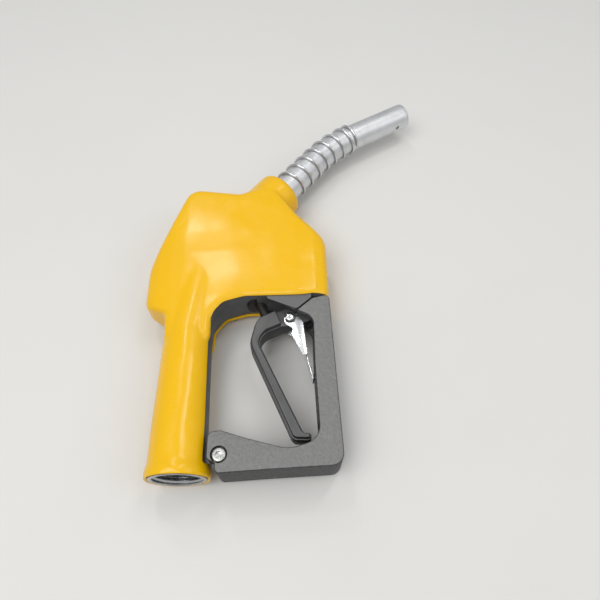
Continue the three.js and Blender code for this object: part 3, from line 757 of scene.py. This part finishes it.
@dataclass
class Skin:
    """Outer form that the casting and its cover share: handle, body and spout collar in one."""

    axis: SpoutAxis
    half: float = 19.7
    voxel: float = 1.3
    smoothing_rounds: int = 5
    passage_start: float = 112.0
    passage_lean: float = 0.17
    passage_spread: float = 0.006
    corners: tuple[Corner, ...] = (
        (-14, 98, 0), (15.5, 98, 0), (16.2, 114, 6), (25.5, 126.5, 8), (42, 131.3, 8),
        (105, 131.3, 4), (105, 182, 14), (83, 206, 12), (62, 240, 12), (37, 229.5, 8),
        (-4.5, 236, 10), (-32.7, 158, 30), (-32.7, 127.5, 6), (-16, 120, 3),
    )
    lengthwise: tuple[Place, ...] = (
        (88, 0.6), (110, 0.74), (131, 0.79), (152, 0.88), (172, 0.97), (190, 1.0), (222, 1.0),
        (246, 0.94),
    )
    crosswise: tuple[Place, ...] = (
        (-34, 0.42), (-31, 0.64), (-25, 0.83), (-16, 0.95), (-6, 1.0), (84, 1.0), (96, 0.93),
        (103, 0.8), (107, 0.6),
    )

    def remeshed(self, piece: Object) -> Object:
        """Gives a piece an even skin of small quads."""
        step = piece.modifiers.new("skin", "REMESH")
        step.mode = "VOXEL"
        step.voxel_size = self.voxel
        step.use_smooth_shade = True
        return baked(piece)

    def body(self, grow: float) -> BMesh:
        """Body with its crowned thickness, moved outwards by a wall.

        Args:
            grow: distance every wall is moved out.

        Returns:
            A closed bmesh.
        """
        plate = slab(self.corners, -self.half, self.half, rim=3.0)
        form = form_of(self.remeshed(draft(plate, "body")))
        for vert in form.verts:
            share = between(vert.co.y, self.lengthwise) * between(vert.co.x, self.crosswise)
            vert.co.z *= share
        form.normal_update()
        if grow:
            moved = [(vert, vert.normal.copy()) for vert in form.verts]
            for vert, outward in moved:
                vert.co += outward * grow
        return form

    def handle(self, grow: float, flare: float) -> BMesh:
        """Tapered grip tube with its wider hose end, leaning and widening where it enters the body.

        Args:
            grow: distance its wall is moved out.
            flare: extra radius of the bead at the hose end.

        Returns:
            A closed bmesh.
        """
        bead = 19.2 + grow + flare
        form = turned([
            (0, 0), (bead, 0), (bead, 5), (18.4 + grow, 10), (18.4 + grow, 32), (16.9 + grow, 106),
            (17.1 + grow, 128), (17.9 + grow, 158), (16.2 + grow, 176), (0, 176),
        ], LARGE_TURN)
        for vert in form.verts:
            past = max(0.0, vert.co.y - self.passage_start)
            vert.co.x = vert.co.x * (1 + self.passage_spread * past) + self.passage_lean * past
        return form

    def collar(self, grow: float) -> BMesh:
        """Round collar that carries the spout."""
        radius = 18.7 + grow
        return self.axis.stand(turned([
            (0, -45), (radius, -45), (radius, -4), (radius - 1.2, -1.2), (radius - 4, 0), (0, 0),
        ], LARGE_TURN))

    def form(self, grow: float = 0.0, flare: float = 0.0) -> Object:
        """Builds the whole form with soft blends where its parts meet.

        Args:
            grow: wall added all round.
            flare: extra radius of the bead at the hose end.

        Returns:
            A closed draft.
        """
        parts = [self.body(grow), self.handle(grow, flare), self.collar(grow)]
        piece = self.remeshed(draft(gathered(parts), "skin"))
        smooth = piece.modifiers.new("soften", "SMOOTH")
        smooth.factor = 0.5
        smooth.iterations = self.smoothing_rounds
        return baked(piece)


@dataclass
class Cover:
    """Thick vinyl cover over handle, body and collar, open along the lever side."""

    skin: Skin
    wall: float = 2.3
    slack: float = 0.3
    flare: float = 0.4
    mouth_radius: float = 16.2
    opening: tuple[Corner, ...] = (
        (8.6, -13, 1.5), (96, -13, 20), (119, -16.2, 12), (131.7, -16.2, 0), (131.7, 16.2, 0),
        (119, 16.2, 12), (96, 11, 20), (8.6, 11, 1.5),
    )

    def openings(self) -> list[BMesh]:
        """Tools for the slot that widens into the arch over the lever, and for the spout's mouth."""
        slot = slab(self.opening, 3, 130)
        lengthwise = Matrix(((0, 0, 1, 0), (1, 0, 0, 0), (0, 1, 0, 0), (0, 0, 0, 1)))
        bmesh.ops.transform(slot, matrix=lengthwise, verts=slot.verts)
        radius = self.mouth_radius
        mouth = turned([(0, -5), (radius, -5), (radius, 9), (0, 9)], LARGE_TURN)
        return [slot, self.skin.axis.stand(mouth)]

    def shell(self) -> BMesh:
        """Outer face of the cover with its openings cut out, still without thickness."""
        whole = self.skin.form(self.wall, self.flare)
        surface = bmesh.new()
        surface.from_mesh(whole.data)
        tree = BVHTree.FromBMesh(surface)
        surface.free()
        form = form_of(combined(whole, self.openings()))
        bmesh.ops.bisect_plane(
            form, geom=form.verts[:] + form.edges[:] + form.faces[:], plane_co=(0, 0.35, 0),
            plane_no=(0, -1, 0), clear_outer=True,
        )
        inside = [f for f in form.faces if tree.find_nearest(f.calc_center_median())[3] > 0.08]
        bmesh.ops.delete(form, geom=inside, context="FACES")
        loose = [v for v in form.verts if not v.link_faces]
        bmesh.ops.delete(form, geom=loose, context="VERTS")
        return form

    def build(self, seat: Seat) -> None:
        """Makes the cover and sets it on the model."""
        piece = draft(self.shell(), "cover")
        step = piece.modifiers.new("wall", "SOLIDIFY")
        step.thickness = self.wall - self.slack
        step.offset = -1
        step.use_rim = True
        form = form_of(baked(piece))
        seat.settle(form, "vinyl_cover", VINYL, Body.NOZZLE, ["scuff_cover"], crease=48)


@dataclass
class Casting:
    """Cast body under the cover, with the bracket for the lever and the lug for the guard."""

    skin: Skin
    channel: float = LEVER_CHANNEL
    guard_half: float = GUARD_HALF
    lug_half: float = 6.0
    cheek: tuple[Corner, ...] = (
        (59, 128.8, 2), (81.6, 118.6, 3), (93.2, 128.6, 0), (93.2, 136, 0), (59, 136, 0),
    )
    lug: tuple[Corner, ...] = (
        (12, 8.9, 0), (22.9, 8.9, 0), (22.9, 6, 0), (33, 6, 5), (35, 21, 6), (12, 27, 0),
    )

    def bracket(self) -> list[BMesh]:
        """The two cheeks that hold the lever."""
        upper = slab(self.cheek, self.channel, self.guard_half, rim=0.5, steps=2)
        lower = slab(self.cheek, -self.guard_half, -self.channel, rim=0.5, steps=2)
        return [upper, lower]

    def build(self, seat: Seat) -> None:
        """Makes the casting, its bracket and its lug."""
        bore = turned(
            [(0, -2), (20.4, -2), (20.4, 4.6), (17.0, 4.6), (17.0, 60), (0, 60)], LARGE_TURN,
        )
        pocket = turned([(0, -30), (15, -30), (15, 6), (0, 6)], LARGE_TURN)
        core = form_of(combined(self.skin.form(), [bore, self.skin.axis.stand(pocket)]))
        seat.settle(core, "cast_body", CASTING, Body.NOZZLE, ["body_casting"])
        lug = slab(self.lug, -self.lug_half, self.lug_half, rim=0.6, steps=2)
        seat.settle(lug, "guard_lug", CASTING, Body.NOZZLE)
        bracket = gathered(self.bracket())
        seat.settle(bracket, "lever_bracket", BRACKET, Body.NOZZLE)


@dataclass
class HoseEnd:
    """Machined end of the handle with its female pipe thread."""

    face: float = 19.2
    root: float = 16.75
    crest: float = 15.4
    pitch: float = 2.21
    turns: int = 6
    steps: int = 72

    def ring(self) -> BMesh:
        """Turned ring and bore behind it."""
        root, face = self.root, self.face
        return turned([
            (face, 4.6), (face, 0.5), (face - 0.45, 0.02), (17.4, 0.02), (root, 0.7),
            (root, 18.2), (15.3, 19.4), (15.3, 21.5), (13, 24), (13, 60), (17, 60), (17, 4.6),
        ], LARGE_TURN)

    def thread(self) -> BMesh:
        """One ridge wound round the bore."""
        form = bmesh.new()
        reach = self.pitch / 2 - 0.08
        start = 2.0
        foot = self.root + 0.1
        section = [(foot, start - reach), (self.crest, start), (foot, start + reach)]
        points = [form.verts.new((radius, height, 0)) for radius, height in section]
        first = form.faces.new(points)
        bmesh.ops.spin(
            form, geom=[first], cent=(0, 0, 0), axis=(0, 1, 0),
            dvec=(0, self.pitch / self.steps, 0), angle=FULL_TURN * self.turns,
            steps=self.steps * self.turns,
        )
        bmesh.ops.recalc_face_normals(form, faces=form.faces)
        return form

    def build(self, seat: Seat) -> None:
        """Makes the ring and its thread."""
        seat.settle(self.ring(), "hose_end_ring", TURNED, Body.NOZZLE)
        seat.settle(self.thread(), "pipe_thread", TURNED, Body.NOZZLE, crease=30)


# ---- Lever guard ----------------------------------------------------------------------------
@dataclass
class Guard:
    """Moulded guard round the lever, with its screw and nut."""

    half: float = GUARD_HALF
    channel: float = LEVER_CHANNEL
    screw: Place = (28.5, 12.5)
    recess_radius: float = 5.6
    recess_depth: float = 3.2
    rack_start: float = 56.0
    rack_pitch: float = 4.2
    rack_teeth: int = 5
    corners: tuple[Corner, ...] = (
        (26, 0.6, 3.4), (60, 2, 30), (109.6, 3.4, 8), (106.8, 130.9, 3.4), (93.5, 127.9, 0),
        (82.3, 118, 0), (93.8, 111.5, 9), (93.3, 75, 60), (94.6, 21, 11), (74, 14.6, 20),
        (46, 22.5, 16), (29, 28.2, 4), (20.4, 27.4, 4), (20.4, 9.1, 3.4), (26, 8.1, 1),
    )

    def rack(self) -> list[BMesh]:
        """Notches that the latch catches in."""
        notches = []
        for tooth in range(self.rack_teeth):
            y = self.rack_start + tooth * self.rack_pitch
            shape = ((92, y, 0), (95.8, y + 0.6, 0.3), (92, y + self.rack_pitch - 0.6, 0))
            notches.append(slab(shape, 4 - self.channel, self.channel - 4))
        return notches

    def build(self, seat: Seat) -> None:
        """Makes the guard and its fastener."""
        piece = draft(slab(self.corners, -self.half, self.half, rim=2.8, steps=4), "guard")
        recess, radius = self.half - self.recess_depth, self.recess_radius
        tools = [
            box((70, 106, -self.channel), (102.5, 136, self.channel)),
            box((70, 11, -self.channel), (102.5, 34, self.channel)),
            box((10, 4.6, -6.3), (38, 40, 6.3)),
            cross_turned([(0, -20), (2.7, -20), (2.7, 20), (0, 20)], self.screw),
            cross_turned([(0, recess), (radius, recess), (radius, 20), (0, 20)], self.screw),
            cross_turned([(0, -20), (radius, -20), (radius, -recess), (0, -recess)], self.screw),
        ]
        form = form_of(combined(piece, tools + self.rack()))
        softened(form, 0.45, 2, sharper_than=40)
        seat.settle(form, "moulded_guard", GUARD, Body.NOZZLE, ["lever_guard"])
        seat.settle(self.screw_form(), "socket_screw", ZINC, Body.NOZZLE, ["guard_screw"])
        seat.settle(self.nut_form(), "hex_nut", ZINC, Body.NOZZLE, ["guard_nut"])

    def screw_form(self) -> BMesh:
        """Button-head screw with a hexagon socket."""
        top = self.half - 0.4
        head = cross_turned([
            (0, -13.4), (2.1, -13.4), (2.4, -13), (2.4, top - 2.5), (4.9, top - 2.5),
            (4.9, top - 1.0), (4.5, top - 0.35), (3.9, top), (0, top),
        ], self.screw, 64)
        socket = cross_turned([(0, top - 1.7), (2.35, top - 1.7), (2.35, 20), (0, 20)], self.screw, 6)
        form = form_of(combined(draft(head, "screw"), [socket]))
        return softened(form, 0.12, 2, sharper_than=50)

    def nut_form(self) -> BMesh:
        """Hexagon nut with chamfered corners."""
        low, high = -14.9, -12.4
        hexagon = cross_turned([(2.55, low), (4.8, low), (4.8, high), (2.55, high)], self.screw, 6)
        return softened(hexagon, 0.3, 2, sharper_than=50)


# ---- Lever and latch ------------------------------------------------------------------------
@dataclass
class Lever:
    """C-shaped hand lever with stepped flanks and a tongue for the latch."""

    half: float = 9.8
    tongue_half: float = 6.4
    pivot: Place = (88.0, 121.0)
    rivet: Place = LATCH_RIVET
    bar: tuple[Corner, ...] = (
        (66, 122.2, 2), (50.5, 115, 11), (45.6, 94, 14), (76.4, 22.4, 5), (88.6, 21.8, 2),
        (89.4, 26.6, 2), (83.6, 27.6, 3), (52.6, 96, 9), (58.4, 103.6, 5), (71, 109, 2),
    )
    tongue: tuple[Corner, ...] = (
        (66, 120.8, 0), (62, 108, 0), (78, 108.6, 3), (95.5, 114, 6.6), (94.5, 128.2, 6.6),
        (80, 126.8, 6),
    )

    def build(self, seat: Seat) -> None:
        """Makes the lever."""
        core = draft(slab(self.bar, -6.0, 6.0, rim=0.7, steps=2), "lever")
        flanks = slab(self.bar, -self.half, self.half, rim=1.9, steps=4, inset=1.0)
        tongue = slab(self.tongue, -self.tongue_half, self.tongue_half, rim=0.8, steps=2)
        whole = combined(core, [flanks, tongue], Joining.ADD)
        tools = [
            box((80, 112, -3.6), (100, 132, 3.6)),
            slab(((44, 90, 0), (53, 92, 0), (77, 36, 0), (70, 30, 0)), -4.2, 4.2),
            cross_turned([(0, -20), (2.8, -20), (2.8, 20), (0, 20)], self.pivot),
            cross_turned([(0, -20), (2, -20), (2, 20), (0, 20)], self.rivet),
        ]
        form = form_of(combined(whole, tools))
        softened(form, 0.25, 2, sharper_than=45)
        seat.settle(form, "moulded_lever", LEVER, Body.LEVER, ["trigger_lever"])


@dataclass
class Latch:
    """Chromed sheet-steel clip that holds the lever open, and its rivet."""

    inner: float = 6.7
    sheet: float = 1.3
    rivet: Place = LATCH_RIVET
    cheek: tuple[Corner, ...] = (
        (71.6, 120.4, 4.6), (81.5, 119.4, 4.6), (86.4, 111, 6), (88.6, 84, 1.4), (85.2, 84, 1),
        (76.9, 101.4, 3), (78.6, 106, 2), (71.9, 110.6, 4.4),
    )
    short_cheek: tuple[Corner, ...] = (
        (71.6, 120.4, 4.6), (81.5, 119.4, 4.6), (86.4, 111, 3), (87.4, 98, 1), (83, 98, 1),
        (79, 106, 2), (71.9, 110.6, 4.4),
    )

    def cheeks(self) -> BMesh:
        """Both cheeks, pierced for the rivet."""
        outer = self.inner + self.sheet
        pair = [
            slab(tuple(reversed(self.cheek)), self.inner, outer, rim=0.3),
            slab(tuple(reversed(self.short_cheek)), -outer, -self.inner, rim=0.3),
        ]
        hole = cross_turned([(0, -20), (2, -20), (2, 20), (0, 20)], self.rivet)
        return form_of(combined(draft(gathered(pair), "cheeks"), [hole]))

    def build(self, seat: Seat) -> None:
        """Makes the clip and its rivet."""
        bend = ((85.1, 107, 0), (86.6, 86, 0), (88.4, 86, 0), (86.6, 107, 0))
        web = slab(bend, -7.3, 7.3, rim=0.3)
        strip = ((86.8, 88, 0), (91.6, 65.8, 0.4), (93, 66.4, 0.4), (88.2, 88, 0))
        pawl = slab(strip, -5, 5, rim=0.3)
        clip = gathered([self.cheeks(), web, pawl])
        seat.settle(clip, "chromed_latch", CHROME, Body.LATCH, ["hold_open_latch"])
        top = self.inner + self.sheet + 0.3
        head = [
            (1.7, top), (3.1, top), (2.8, top + 0.8), (1.9, top + 1.2), (1.2, top + 1.1),
            (0.8, top + 0.6), (0, top + 0.5),
        ]
        profile = [(radius, -height) for radius, height in reversed(head)] + head
        rivet = cross_turned(profile, self.rivet)
        seat.settle(rivet, "dimpled_rivet", CHROME, Body.LEVER, ["latch_rivet"])


# ---- Spout ----------------------------------------------------------------------------------
@dataclass
class Spout:
    """Bent aluminium tube with the wire spring round its neck."""

    axis: SpoutAxis
    radius: float = 11.9
    wall: float = 1.4
    root: float = 10.0
    wire: float = 1.1
    coils: int = 8
    pitch: float = 12.6
    last_pitch: float = 5.2
    first: float = 4.0
    vent_radius: float = 2.2
    vent_from_tip: float = 14.5

    def tube(self) -> BMesh:
        """Tube with a rounded lip and a vent hole near the tip."""
        end = self.axis.length
        rings = 48
        inner = self.radius - self.wall
        heights = [-self.root + (end - 1.0 + self.root) * i / rings for i in range(rings + 1)]
        lip = [(self.radius - 0.2, end - 0.4), (self.radius - 0.7, end), (inner + 0.3, end)]
        profile = [(self.radius, h) for h in heights] + lip + [(inner, h) for h in reversed(heights)]
        vent = turned([(0, 6), (self.vent_radius, 6), (self.vent_radius, 16), (0, 16)], 32)
        sideways = Matrix.Rotation(-math.pi / 2, 3, "Z")
        bmesh.ops.rotate(vent, cent=(0, 0, 0), matrix=sideways, verts=vent.verts)
        bmesh.ops.translate(vent, vec=(0, end - self.vent_from_tip, 0), verts=vent.verts)
        form = form_of(combined(draft(turned(profile, LARGE_TURN), "tube"), [vent]))
        return self.axis.follow(form)

    def coil(self) -> BMesh:
        """Spring wire wound round the tube, its last turn closed up."""
        form = bmesh.new()
        steps = 48
        centre = self.radius + self.wire + 0.15
        ring = bmesh.ops.create_circle(form, cap_ends=True, segments=12, radius=self.wire)
        bmesh.ops.translate(form, vec=(centre, self.first, 0), verts=ring["verts"])
        start = form.faces[:]
        turn = bmesh.ops.spin(
            form, geom=start, cent=(0, 0, 0), axis=(0, 1, 0), dvec=(0, self.pitch / steps, 0),
            angle=FULL_TURN * (self.coils - 1), steps=steps * (self.coils - 1),
        )
        last = [g for g in turn["geom_last"] if isinstance(g, bmesh.types.BMFace)]
        bmesh.ops.spin(
            form, geom=last, cent=(0, 0, 0), axis=(0, 1, 0), dvec=(0, self.last_pitch / steps, 0),
            angle=FULL_TURN, steps=steps,
        )
        bmesh.ops.recalc_face_normals(form, faces=form.faces)
        return self.axis.follow(form)

    def build(self, seat: Seat) -> None:
        """Makes the tube, its spring and the bush at its foot."""
        seat.settle(self.tube(), "spout_pipe", SPOUT, Body.NOZZLE, ["spout_tube"])
        seat.settle(self.coil(), "neck_spring", SPRING, Body.NOZZLE, ["spout_spring"])
        section = [(12.2, -9.7), (14.7, -9.7), (14.7, -0.6), (12.2, -0.6)]
        bush = self.axis.stand(softened(turned(section, LARGE_TURN), 0.4))
        seat.settle(bush, "collar_bush", BRASS, Body.NOZZLE, ["spout_bush"])


# ---- Inner pieces ---------------------------------------------------------------------------
def slots_of(frame: dict) -> dict[str, Slot]:
    """Material slot of each CAD node."""
    return {row["node"]: Slot(row["material_slot"]) for row in frame["record"]["subparts"]}


def dress_inner_pieces(frame: dict, paint: Paintbox) -> None:
    """Gives every CAD node the finish of its material slot, except a few inner pieces painted dark as
    shade.

    Args:
        frame: what loading the model returned.
        paint: material store.
    """
    slots = slots_of(frame)
    # Inner pieces painted dark as shade.
    in_shade = ("main_valve_stem", "stem_packing_nut", "latch_spring", "plunger")
    for name, node in sorted(frame["nodes"].items()):
        paint.coat(node, SHADE_DARK_STEEL if name in in_shade else CAD_FINISHES[slots[name]])
    LOG.info("%d inner pieces dressed", len(slots))


def shorten_spring(frame: dict, paint: Paintbox, name: str) -> None:
    """Puts a merged, smooth-shaded copy of one inner compression spring on the nozzle in place of its
    CAD node.

    Args:
        frame: what loading the model returned.
        paint: material store.
        name: CAD node of the spring.
    """
    form = bmesh.new()
    form.from_mesh(frame["nodes"][name].data)
    bmesh.ops.remove_doubles(form, verts=form.verts, dist=1e-6)
    piece = draft(form, f"coiled_{name}")
    piece.data.shade_smooth()
    slot = slots_of(frame)[name]
    paint.coat(piece, CAD_FINISHES[slot])
    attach(piece, Body.NOZZLE.value)
    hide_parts(name)
    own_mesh(piece)


def shorten_springs(frame: dict, paint: Paintbox) -> None:
    """Copies each spring that a sliding joint of the record lists among its deforming nodes."""
    for joint in frame["record"]["behaviour"]["joints"]:
        for row in joint.get("deforming_nodes", []):
            if joint["type"] == "slide" and row["node"].endswith("_spring"):
                shorten_spring(frame, paint, row["node"])


# ---- Studio ---------------------------------------------------------------------------------
@dataclass
class Studio:
    """Pale floor, soft lights and the camera."""

    eye: tuple[float, float, float] = (78.9, -68.4, 341.8)
    aim: tuple[float, float, float] = (84.72, 135.13, 0.0)
    roll: float = math.radians(-0.19)
    lens: float = 30.0

    def floor(self, paint: Paintbox) -> None:
        """Lays a wide floor under the nozzle."""
        form = bmesh.new()
        bmesh.ops.create_grid(form, x_segments=1, y_segments=1, size=4.0)
        floor = draft(form, "floor")
        paint.coat(floor, FLOOR)

    def lamp(self, name: str, place: tuple[float, float, float], size: Place, power: float) -> None:
        """Hangs a rectangular soft light that faces the middle of the floor.

        Args:
            name: name of the light.
            place: position in metres.
            size: width and height in metres.
            power: watts.
        """
        data = bpy.data.lights.new(name, "AREA")
        data.shape = "RECTANGLE"
        data.size, data.size_y = size
        data.energy = power
        light = bpy.data.objects.new(name, data)
        light.location = place
        light.rotation_euler = (-Vector(place)).to_track_quat("-Z", "Y").to_euler()
        bpy.context.scene.collection.objects.link(light)

    def lights(self) -> None:
        """Overhead softbox, three small ones for crisp highlights, a fill and an even surround."""
        self.lamp("overhead", (-0.55, -0.45, 1.35), (1.1, 0.9), 12.0)
        self.lamp("strip", (0.4, 0.4, 1.34), (0.12, 0.6), 2.6)
        self.lamp("door", (-0.28, 0.6, 1.34), (0.13, 0.12), 1.2)
        self.lamp("window", (-0.41, 1.03, 1.34), (0.14, 0.13), 1.4)
        self.lamp("fill", (0.9, -0.2, 0.9), (0.7, 0.7), 2.4)
        world = bpy.data.worlds.new("surround")
        world.use_nodes = True
        background = world.node_tree.nodes["Background"]
        background.inputs["Color"].default_value = linear("F0F1F2")
        background.inputs["Strength"].default_value = 0.5
        bpy.context.scene.world = world
        bpy.context.scene.view_settings.view_transform = "Standard"

    def camera(self, seat: Seat) -> None:
        """Stands the camera at the viewing angle."""
        data = bpy.data.cameras.new("camera")
        data.lens = self.lens
        data.sensor_width = 36.0
        data.clip_start = 0.01
        camera = bpy.data.objects.new("camera", data)
        eye, aim = seat.place(*self.eye), seat.place(*self.aim)
        turn = (aim - eye).to_track_quat("-Z", "Y").to_matrix().to_4x4()
        camera.matrix_world = Matrix.Translation(eye) @ turn @ Matrix.Rotation(self.roll, 4, "Z")
        bpy.context.scene.collection.objects.link(camera)
        bpy.context.scene.camera = camera


def main() -> None:
    """Builds the looks of the nozzle round its CAD model."""
    logging.basicConfig(level=logging.INFO, format="%(name)s %(message)s")
    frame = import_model()
    paint = Paintbox()
    seat = Seat.of_model(paint)
    dress_inner_pieces(frame, paint)
    shorten_springs(frame, paint)
    axis = SpoutAxis()
    skin = Skin(axis)
    assemblies = (Cover(skin), Casting(skin), HoseEnd(), Guard(), Lever(), Latch(), Spout(axis))
    for assembly in assemblies:
        assembly.build(seat)
    studio = Studio()
    studio.floor(paint)
    studio.lights()
    studio.camera(seat)


if __name__ == "__main__":
    main()
